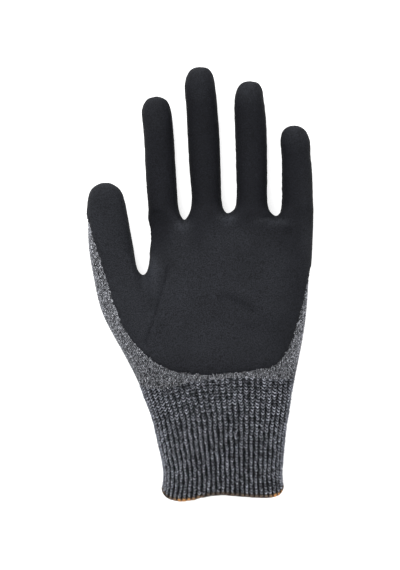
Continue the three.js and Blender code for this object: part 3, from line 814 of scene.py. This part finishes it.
def model_liner(skin):
    liner = copy_of(skin, "liner_knit")
    cut_below(liner, MOUTH_Y)
    places, normals = points_of(liner.data), points_of(liner.data, "normal")
    relief = fold_relief(places, normals)
    places = places + normals * (relief + LINER_FACE - 0.3)[:, None]
    put_points(liner.data, floor_clamp(places))
    # Near the table the liner's ground is lighter, with less of its painted shade.
    under = smooth((1.2 - places[:, 2]) / 1.2) / 3
    liner.data.attributes.new("tone", "FLOAT", "POINT").data.foreach_set("value", under)
    apply_solidify(liner, LINER_WALL - 0.3)
    liner.data.shade_smooth()
    return liner


WALES = {"palm": 196, "knuckles": 164, "thumb": 46, "finger": 38}
COURSE = 0.9
WRIST_DARKER = 0.1
# The stitches are made in pieces, one for each stretch of the hand between these heights.
KNIT_PARTS = {"wrist": (-99.0, -34.0), "thumb_side": (-34.0, 14.0), "roots": (14.0, 48.0),
              "digits": (48.0, 199.0)}
PLAIN_SHAPE = {"plump": 0.4, "foot": 0.12, "lean": 0.28, "dip": 0.2, "painted_fade": 0.15}


def loop_wales(loop, y):
    """How many wales go round a loop of the skin."""
    width = np.ptp(loop[:, 0])
    if width > 110 or y < PALM_ROWS[THUMB_ROW][0]:
        return WALES["palm"]
    if width > 60:
        return WALES["knuckles"]
    return WALES["thumb"] if loop[:, 0].max() < FORKS[0][3] else WALES["finger"]


def plain_sites(slices):
    """Where the plain knit's stitches show: outside the coating, off the table."""
    rng = np.random.default_rng(STITCH_SEED)
    sites = []
    y = -60.0
    top = max(digit[2][1] for digit in DIGITS.values()) - COATING_TIP_WRAP
    while y < top:
        for loop in slices.at(y):
            count = loop_wales(loop, y)
            ring, length = resampled(loop, count)
            places, normals = ring[:, :3], ring[:, 3:]
            tones = heather_tones(rng, count, 0.05, 0.22)
            tones = tones - WRIST_DARKER * smooth((-38.0 - y) / 12)
            depth = coating_depth(places)
            rib_top = np.interp(places[:, 0], *np.array(RIB_TOP).T)
            shown = (depth < 0.9) & (places[:, 2] > 0.1) & (y > rib_top)
            width = length / count
            for n in np.flatnonzero(shown):
                place = places[n] + normals[n] * (LINER_FACE + 0.05)
                sites.append((place, normals[n], (0, 1, 0), (width * 1.0, COURSE * 1.1, 0.6),
                              tones[n]))
        y += COURSE
    return sites


def subdivide_where(obj, chosen):
    """Cuts the faces between the chosen points into quarters."""
    select_only(obj)
    bpy.ops.object.mode_set(mode="EDIT")
    bpy.ops.mesh.select_mode(type="VERT")
    bpy.ops.mesh.select_all(action="DESELECT")
    mesh = bmesh.from_edit_mesh(obj.data)
    mesh.verts.ensure_lookup_table()
    for vertex in mesh.verts:
        vertex.select_set(bool(chosen[vertex.index]))
    mesh.select_flush_mode()
    bmesh.update_edit_mesh(obj.data)
    bpy.ops.mesh.subdivide(number_cuts=1, smoothness=0)
    bpy.ops.object.mode_set(mode="OBJECT")


def near_folds(places, reach, widest):
    """Which points of the face lie near a fold no wider than the given width."""
    near = np.zeros(len(places), bool)
    for line, _, width in FOLDS:
        if width <= widest:
            near |= distance_to_line(places[:, 0], places[:, 1], line) < width + reach
    return near & (places[:, 2] > COATING_SIDE_LEVEL)


def coating_painted_shading(places, normals):
    """Painted light and shade of the coating at each point: about 0 on the palm and 1 on the fingers.
    """
    x, y, _ = places.T
    finger = COATING_FINGER_PAINTED_SHADE * np.where(x < -10, smooth((y - 20) / 20), smooth((y - 24) / 18))
    finger = np.where((x < -33) & (y < 60), 0, finger)
    # Painted shade on the fingers, more on their sides where they turn away, and painted light at the
    # tips.
    painted_shading = finger * (1 + COATING_RIM_PAINTED_SHADE * smooth(np.abs(normals[:, 0]) * 1.4))
    for _, _, (tip_x, tip_y), sections in DIGITS.values():
        near = np.abs(x - tip_x) < 10
        tip = np.clip((y - tip_y + 20) / 20, 0, 1) ** 1.5
        painted_shading += np.where(near, COATING_TIP_PAINTED_LIGHT * tip * finger, 0)
    for at_x, at_y, across, along, amount in COATING_PAINTED_SHADING:
        painted_shading += amount * np.exp(-(((x - at_x) / across) ** 2) - ((y - at_y) / along) ** 2)
    return painted_shading


def model_coating(skin, out):
    coat = copy_of(skin, "foamed_coating")
    cut_below(coat, MOUTH_Y)
    for reach, widest in ((2.2, 2.3), (1.0, 1.2)):
        places = points_of(coat.data)
        band = np.abs(coating_depth(places)) < reach
        subdivide_where(coat, band | near_folds(places, reach / 3, widest))
    places, normals = points_of(coat.data), points_of(coat.data, "normal")
    depth = coating_depth(places)
    band = np.abs(depth) < 3
    depth[band] += 0.75 * ragged(places[band], 1.3, 3.0) + 0.4 * ragged(places[band], 3.0, 9.0)
    relief = fold_relief(places, normals)
    height = np.minimum(out, -0.25 + 0.9 * depth)
    height = np.maximum(height, -1.3) + 0.16 * ragged(places, 2.6, 5.0)
    places = places + normals * (relief + height)[:, None]
    put_points(coat.data, places)
    # The painted light and shade that the coating's material reads.
    painted_shading = coat.data.attributes.new("painted_shading", "FLOAT", "POINT")
    painted_shading.data.foreach_set("value", coating_painted_shading(places, normals))
    keep_where(coat, depth > -1.5)
    smooth_forks(coat)
    apply_solidify(coat, 0.9)
    coat.data.shade_smooth()
    return coat


def smooth_forks(obj):
    """Evens out the points next to the forks between the digits, where an offset skin crowds."""
    places = points_of(obj.data)
    near = np.zeros(len(places), bool)
    for _, _, left, right, y in FORKS:
        near |= np.hypot(places[:, 0] - (left + right) / 2, places[:, 1] - y) < FORK_REACH
    select_only(obj)
    bpy.ops.object.mode_set(mode="EDIT")
    bpy.ops.mesh.select_mode(type="VERT")
    bpy.ops.mesh.select_all(action="DESELECT")
    mesh = bmesh.from_edit_mesh(obj.data)
    mesh.verts.ensure_lookup_table()
    for vertex in mesh.verts:
        vertex.select_set(bool(near[vertex.index]) and not vertex.is_boundary)
    bmesh.update_edit_mesh(obj.data)
    bpy.ops.mesh.vertices_smooth(factor=0.5, repeat=30)
    bpy.ops.object.mode_set(mode="OBJECT")


def keep_where(obj, kept):
    """Deletes the faces that touch a point that isn't kept."""
    select_only(obj)
    bpy.ops.object.mode_set(mode="EDIT")
    bpy.ops.mesh.select_mode(type="VERT")
    bpy.ops.mesh.select_all(action="DESELECT")
    mesh = bmesh.from_edit_mesh(obj.data)
    mesh.verts.ensure_lookup_table()
    for vertex in mesh.verts:
        vertex.select_set(not kept[vertex.index])
    bmesh.update_edit_mesh(obj.data)
    bpy.ops.mesh.delete(type="VERT")
    bpy.ops.object.mode_set(mode="OBJECT")


RIBS = 60
RIB_POINTS = 6
RIB_COURSES = 40
RIB_COURSE_TOP, RIB_COURSE_HEM = 1.72, 1.55
RIB_COURSE_TURN = (0.2, 0.5)
RIB_SHAPE = {"rise": 0.8, "bend": 1.2, "girth": 0.26, "deep": 0.34, "dip": 0.95, "painted_fade": 0.8}
# How much darker the rib's top courses are, and the painted light on its sides, where they face left or
# right.
RIB_TOP_DARKER, RIB_SIDE_PAINTED_LIGHT = 0.1, 0.16
# The valley's loops: thin threads that arch across it.
PURL_SHAPE = {"rise": -0.45, "bend": 1.8, "girth": 0.3, "deep": 0.45, "dip": 0.2, "painted_fade": 0.1}
# The valley loops' length and level, and their low tone, painted shade in the valleys.
PURL_LENGTH, PURL_LEVEL, PURL_PAINTED_SHADE_TONE = 0.6, -1.4, 0.2
RIB_ROWS = 36
HEM_BEADS = 4
# Where the hem's thread turns golden: x and width.
HEM_GOLD = [(-8.5, 6.2), (43.5, 4.5)]
RIB_CREST = -0.95
RIB_VALLEY = -1.75
CUFF_INSIDE = -2.35


class CuffShape:
    """Paths down the cuff: each runs over the skin from the rib's top to the hem."""

    def __init__(self, slices):
        self.ys = np.arange(-123.0, -48.0, 1.0)
        self.count = RIBS * RIB_POINTS
        self.table = np.array([resampled(slices.at(y)[0], self.count)[0] for y in self.ys])

    def at(self, path, y):
        """Place and normal where a path, counted in points round the cuff, crosses a height."""
        step = np.clip((y - self.ys[0]) / (self.ys[1] - self.ys[0]), 0, len(self.ys) - 1.001)
        row = int(step)
        first, after = int(path) % self.count, (int(path) + 1) % self.count
        part = path - int(path)
        below = mix(self.table[row, first], self.table[row, after], part)
        above = mix(self.table[row + 1, first], self.table[row + 1, after], part)
        both = mix(below, above, step - row)
        return both[:3], both[3:]

    def hem(self, path):
        place, _ = self.at(path, -117)
        ring = self.table[6]
        left, right, high = ring[:, 0].min(), ring[:, 0].max(), ring[:, 2].max()
        at = np.clip((place[0] - left) / (right - left), 0, 1) * (len(HEM_LINE) - 1)
        before = min(int(at), len(HEM_LINE) - 2)
        t = (1 - math.cos(math.pi * (at - before))) / 2
        face = mix(HEM_LINE[before][0], HEM_LINE[before + 1][0], t)
        back = mix(HEM_LINE[before][1], HEM_LINE[before + 1][1], t)
        rise = (HEM_RISE_LEFT * np.clip(1 - (place[0] - left) / HEM_CORNER, 0, 1) ** 3
                + HEM_RISE_RIGHT * np.clip(1 - (right - place[0]) / HEM_CORNER, 0, 1) ** 3)
        return mix(back, face, float(smooth((place[2] / high - 0.2) / 0.6))) + rise

    def top(self, path):
        place, _ = self.at(path, -54)
        return float(np.interp(place[0], *np.array(RIB_TOP).T))


def model_cuff_tube(shape):
    """The ribbed tube beneath the stitches: a grid is wrapped round the cuff, its seam closed."""
    round_count = shape.count
    bpy.ops.object.select_all(action="DESELECT")
    rings = 2 * RIB_ROWS
    bpy.ops.mesh.primitive_grid_add(x_subdivisions=round_count, y_subdivisions=rings, size=1)
    tube = bpy.context.object
    tube.name = "cuff_ground"
    grid = np.array([v.co[:2] for v in tube.data.vertices]) + 0.5
    places = []
    waves = []
    hems = [shape.hem(n) for n in range(round_count)]
    for u, v in grid:
        n = round(u * round_count) % round_count
        row = round(v * rings)
        outside = row <= RIB_ROWS
        share = (row if outside else rings - row) / RIB_ROWS
        wave = (1 + math.cos(2 * math.pi * n / RIB_POINTS)) / 2
        y = mix(MOUTH_Y - 0.3, hems[n] + 0.8, share)
        place, normal = shape.at(n, y)
        inward = mix(RIB_VALLEY, RIB_CREST, wave)
        if not outside:
            inward = CUFF_INSIDE - 0.35 * wave
            wave = 2 + wave
        place = place + normal * inward
        place[1] = y
        places.append(place)
        waves.append(wave)
    put_points(tube.data, floor_clamp(np.array(places)))
    # Tone for the ground's painted shade: darkest in the valleys, less on the crests, lightest inside.
    tube.data.attributes.new("tone", "FLOAT", "POINT").data.foreach_set(
        "value", np.array(waves) / 3)
    close_seams(tube)
    tube.data.shade_smooth()
    return tube


def close_seams(obj):
    select_only(obj)
    bpy.ops.object.mode_set(mode="EDIT")
    bpy.ops.mesh.select_all(action="SELECT")
    bpy.ops.mesh.remove_doubles(threshold=0.00001)
    bpy.ops.mesh.normals_make_consistent(inside=False)
    bpy.ops.object.mode_set(mode="OBJECT")


def rib_courses(shape, beside):
    """For each rib and course: the place, normal, direction along the rib, a stitch's size and
    tones, and how far down the cuff it is. Beside 0.5, they run down the valleys."""
    rng = np.random.default_rng(STITCH_SEED + 1)
    closer, closest = RIB_COURSE_TURN
    turn = smooth((np.linspace(0, 1, RIB_COURSES) - closer) / (closest - closer))
    steps = mix(RIB_COURSE_TOP, RIB_COURSE_HEM, turn)
    downs = (np.concatenate([[0], np.cumsum(steps)])[:-1] + beside * steps) / steps.sum()
    tones = np.array([heather_tones(rng, RIBS, 0.07, 0.2) for _ in downs])
    for rib in range(RIBS):
        path = (rib + beside) * RIB_POINTS
        top, hem = shape.top(path), shape.hem(path) + 1.5
        for course, down in enumerate(downs):
            y = mix(top - 0.3, hem, down)
            sway = path + 0.3 * math.sin(course * 0.7 + rib * 1.3)
            place, normal = shape.at(sway, y)
            above, _ = shape.at(sway, y + 2)
            after, _ = shape.at(path + RIB_POINTS, y)
            pitch = float(np.hypot(*(after - place)[[0, 2]]))
            width = min(pitch * mix(0.95, 0.8, smooth(down * 1.4)), 3.7)
            size = (width * (1 + 0.06 * rng.normal()), steps[course], 1.0)
            tone = tones[course][rib] - RIB_TOP_DARKER * (1 - smooth(down * 3))
            # Painted light on the sides of the cuff that face left or right.
            tone = tone + RIB_SIDE_PAINTED_LIGHT * smooth(abs(normal[0]) * 1.5)
            nudge = 0.08 * rng.normal(size=3)
            yield place + nudge, normal, above - place, size, tone, down


def rib_sites(shape):
    """The rib's stitches, one V to each rib and course, closer where the cuff draws in."""
    return [(place - 0.25 * normal, normal, along, size, tone)
            for place, normal, along, size, tone, _ in rib_courses(shape, 0.0)]


def purl_sites(shape):
    """The loops that cross the valleys between the ribs, half a course below the rib's own."""
    rng = np.random.default_rng(STITCH_SEED + 3)
    sites = []
    for place, normal, along, (width, length, _), tone, down in rib_courses(shape, 0.5):
        size = (width * 0.55, length * PURL_LENGTH, 0.5)
        # Painted shade: the valley loops are darker, and darker still down the cuff.
        dim = PURL_PAINTED_SHADE_TONE - 0.3 * smooth(down * 2) + 0.08 * rng.normal()
        sites.append((place + normal * PURL_LEVEL, normal, along, size, (dim, dim)))
    return sites


def overlock_sites(shape):
    """Thread wrapped over the hem: beads along the very edge, dark and light by turns, and a short
    slanted leg above each."""
    rng = np.random.default_rng(STITCH_SEED + 2)
    count = HEM_BEADS * RIBS
    sites = []
    for n in range(count):
        valley = n % HEM_BEADS == HEM_BEADS // 2
        path = n * shape.count / count
        hem = shape.hem(path)
        here, normal = shape.at(path, hem)
        edge = here + normal * -1.0
        edge[1] = hem + (0.85 if valley else 0.6)
        outwards = normal * 0.55 + np.array([0, -0.8, 0])
        around = np.cross(normal, (0, 1, 0))
        gold = max(math.exp(-(((here[0] - x) / width) ** 2)) for x, width in HEM_GOLD)
        tone = mix(0.0, 0.3, gold) if valley else mix(0.45, 0.92, gold)
        tone += 0.08 * rng.normal()
        sites.append((edge, outwards, normal + around * 0.35,
                      (1.15 if valley else 0.85, 2.4, 1.1), (tone, tone)))
        leg, leg_normal = shape.at(path + 0.4, hem + 1.4)
        dark = 0.08 * rng.random() if valley else 0.35 + (0.1 + 0.3 * gold) * rng.random()
        sites.append((leg + leg_normal * (-0.5 if valley else -0.75), leg_normal,
                      (0, 1, 0) + around * 0.55, (1.0 if valley else 0.7, 1.7, 0.9), (dark, dark)))
    return sites


def thread_template():
    """One short stretch of thread, thickest in the middle, of width, length and thickness 1."""
    bpy.ops.object.select_all(action="DESELECT")
    bpy.ops.mesh.primitive_uv_sphere_add(segments=6, ring_count=7, radius=0.5)
    thread = bpy.context.object
    bpy.ops.object.mode_set(mode="EDIT")
    bpy.ops.mesh.select_all(action="SELECT")
    bpy.ops.transform.rotate(value=math.pi / 2, orient_axis="X", center_override=(0, 0, 0))
    bpy.ops.object.mode_set(mode="OBJECT")
    corners = np.array([v.co for v in thread.data.vertices])
    corners[:, 2] -= 0.5 * corners[:, 1] ** 2
    faces = [list(f.vertices) for f in thread.data.polygons]
    bpy.data.objects.remove(thread)
    return corners, faces, np.zeros(len(corners), int), np.zeros(len(corners))


def build_shapes():
    """The skin and what is measured on it, made once for all the pieces."""
    if not build_shapes.made:
        skin = model_skin()
        slices = Slices(skin)
        build_shapes.made = (skin, slices, CuffShape(slices))
    return build_shapes.made


build_shapes.made = None


class GloveSettings(bpy.types.PropertyGroup):
    """Sizes and colours that a user may want to change."""

    camera_height: bpy.props.FloatProperty(
        name="Camera height", description="How high the camera is above the table",
        default=0.9, min=0.3, max=3.0, unit="LENGTH")
    frame_height: bpy.props.FloatProperty(
        name="Frame height", description="How much the picture takes in from top to bottom",
        default=0.322, min=0.1, max=1.0, unit="LENGTH")
    coating_out: bpy.props.FloatProperty(
        name="Coating height", description="How far the coating stands out from the skin",
        default=0.00085, min=0.0002, max=0.002, unit="LENGTH", precision=5)
    coating_colour: bpy.props.FloatVectorProperty(
        name="Coating colour", description="Colour of the foamed rubber",
        default=(0.0107, 0.01147, 0.01412), size=3, subtype="COLOR", min=0, max=1)
    yarn_light: bpy.props.FloatProperty(
        name="Pale fibres", description="How light the pale fibres of the yarn are",
        default=0.38, min=0.02, max=1)
    thread_colour: bpy.props.FloatVectorProperty(
        name="Hem thread", description="Colour of the hem's thread where it shows golden",
        default=(0.62, 0.27, 0.07), size=3, subtype="COLOR", min=0, max=1)
    floor_colour: bpy.props.FloatVectorProperty(
        name="Floor colour", description="Colour of the table", default=(0.62, 0.62, 0.62),
        size=3, subtype="COLOR", min=0, max=1)
    floor_glow: bpy.props.FloatProperty(
        name="Floor glow", description="Light that comes up through the white table",
        default=0.62, min=0, max=2)
    sky: bpy.props.FloatProperty(
        name="Fill light", description="Strength of the light from all round",
        default=1.1, min=0, max=5)


class GLOVE_OT_liner(bpy.types.Operator):
    """Make the knitted liner"""

    bl_idname = "glove.liner"
    bl_label = "Knitted liner"

    def execute(self, context):
        skin, slices, _ = build_shapes()
        liner = model_liner(skin)
        finish_piece(liner, "liner_knit", painted_shade_ground_material("liner_ground", 0.02, 6.0, 6.0), "hand_liner")
        template = stitch_template(**PLAIN_SHAPE)
        yarn = yarn_material("plain_yarn", 0.02, 0.17, context.scene.glove.yarn_light, 1750, 0.55)
        sites = plain_sites(slices)
        for part, (low, high) in KNIT_PARTS.items():
            chosen = [site for site in sites if low <= site[0][1] < high]
            stitches = knit_field("liner_stitches_" + part, template, chosen)
            finish_piece(stitches, "liner_knit", yarn, "hand_liner")
        return {"FINISHED"}


class GLOVE_OT_coating(bpy.types.Operator):
    """Make the foamed rubber coating"""

    bl_idname = "glove.coating"
    bl_label = "Palm coating"

    def execute(self, context):
        settings = context.scene.glove
        skin, _, _ = build_shapes()
        coat = model_coating(skin, settings.coating_out / MM)
        finish_piece(coat, "coating", coating_material(settings.coating_colour), "palm_coating")
        return {"FINISHED"}


class GLOVE_OT_cuff(bpy.types.Operator):
    """Make the ribbed cuff"""

    bl_idname = "glove.cuff"
    bl_label = "Ribbed cuff"

    def execute(self, context):
        _, _, shape = build_shapes()
        tube = model_cuff_tube(shape)
        finish_piece(tube, "rib_knit", painted_shade_ground_material("rib_ground", 0.003, 6.0, 45.0), "rib_cuff")
        stitches = knit_field("cuff_stitches", loop_template(**RIB_SHAPE), rib_sites(shape))
        yarn = yarn_material("rib_yarn", 0.016, 0.105, context.scene.glove.yarn_light / 2, 1500)
        finish_piece(stitches, "rib_knit", yarn, "rib_cuff")
        template = loop_template(**PURL_SHAPE, segments=4, rings=6)
        purl = knit_field("cuff_purl_stitches", template, purl_sites(shape))
        finish_piece(purl, "rib_knit", yarn, "rib_cuff")
        return {"FINISHED"}


class GLOVE_OT_hem(bpy.types.Operator):
    """Make the overlock seam round the cuff's mouth"""

    bl_idname = "glove.hem"
    bl_label = "Overlocked hem"

    def execute(self, context):
        _, _, shape = build_shapes()
        gold = tuple(context.scene.glove.thread_colour)
        hem = knit_field("hem_overlock_thread", thread_template(), overlock_sites(shape))
        finish_piece(hem, "hem_thread", thread_material(gold), "hem_overlock")
        return {"FINISHED"}


class GLOVE_OT_stage(bpy.types.Operator):
    """Set the table, the lights and the camera"""

    bl_idname = "glove.stage"
    bl_label = "Table, lights and camera"

    def execute(self, context):
        settings = context.scene.glove
        if build_shapes.made:
            bpy.data.objects.remove(build_shapes.made[0])
        bpy.ops.mesh.primitive_plane_add(size=6, location=(0, 0, -0.0002))
        floor = context.object
        floor.name = "table"
        nodes = Nodes("table")
        nodes.shader.inputs["Base Color"].default_value = (*settings.floor_colour, 1)
        nodes.shader.inputs["Roughness"].default_value = 0.9
        nodes.shader.inputs["Specular IOR Level"].default_value = 0.0
        nodes.shader.inputs["Emission Color"].default_value = (1, 1, 1, 1)
        nodes.shader.inputs["Emission Strength"].default_value = settings.floor_glow
        floor.data.materials.append(nodes.material)
        world = bpy.data.worlds.new("studio")
        world.use_nodes = True
        world.node_tree.nodes["Background"].inputs["Color"].default_value = (1, 1, 1, 1)
        world.node_tree.nodes["Background"].inputs["Strength"].default_value = settings.sky
        context.scene.world = world
        for name, place, size, power in (
            ("key", (-0.55, 1.25, 0.95), 0.9, 34.0),
            ("fill", (0.9, -0.3, 1.4), 1.4, 6.0),
        ):
            light = bpy.data.lights.new(name, "AREA")
            light.shape = "SQUARE"
            light.size = size
            light.energy = power
            lamp = bpy.data.objects.new(name, light)
            lamp.location = place
            lamp.rotation_euler = (-Vector(place)).to_track_quat("-Z", "Y").to_euler()
            context.collection.objects.link(lamp)
        data = bpy.data.cameras.new("camera")
        data.sensor_fit = "VERTICAL"
        data.sensor_height = 24
        glove_level = 0.011
        data.lens = 24 * (settings.camera_height - glove_level) / settings.frame_height
        camera = bpy.data.objects.new("camera", data)
        camera.location = (-0.00005, -0.00076, settings.camera_height)
        context.collection.objects.link(camera)
        context.scene.camera = camera
        context.scene.view_settings.view_transform = "Standard"
        context.scene.view_settings.look = "None"
        return {"FINISHED"}


STEPS = (GLOVE_OT_liner, GLOVE_OT_coating, GLOVE_OT_cuff, GLOVE_OT_hem, GLOVE_OT_stage)


class GLOVE_PT_panel(bpy.types.Panel):
    """The steps that make the glove"""

    bl_idname = "GLOVE_PT_panel"
    bl_label = "Coated work glove"
    bl_space_type = "VIEW_3D"
    bl_region_type = "UI"
    bl_category = "Glove"

    def draw(self, context):
        settings = context.scene.glove
        for name in GloveSettings.__annotations__:
            self.layout.prop(settings, name)
        for step in STEPS:
            self.layout.operator(step.bl_idname)


def register():
    for kind in (GloveSettings, *STEPS, GLOVE_PT_panel):
        bpy.utils.register_class(kind)
    bpy.types.Scene.glove = bpy.props.PointerProperty(type=GloveSettings)


def unregister():
    del bpy.types.Scene.glove
    for kind in reversed((GloveSettings, *STEPS, GLOVE_PT_panel)):
        bpy.utils.unregister_class(kind)


def main():
    register()
    bpy.ops.glove.liner()
    bpy.ops.glove.coating()
    bpy.ops.glove.cuff()
    bpy.ops.glove.hem()
    bpy.ops.glove.stage()


if __name__ == "__main__":
    main()
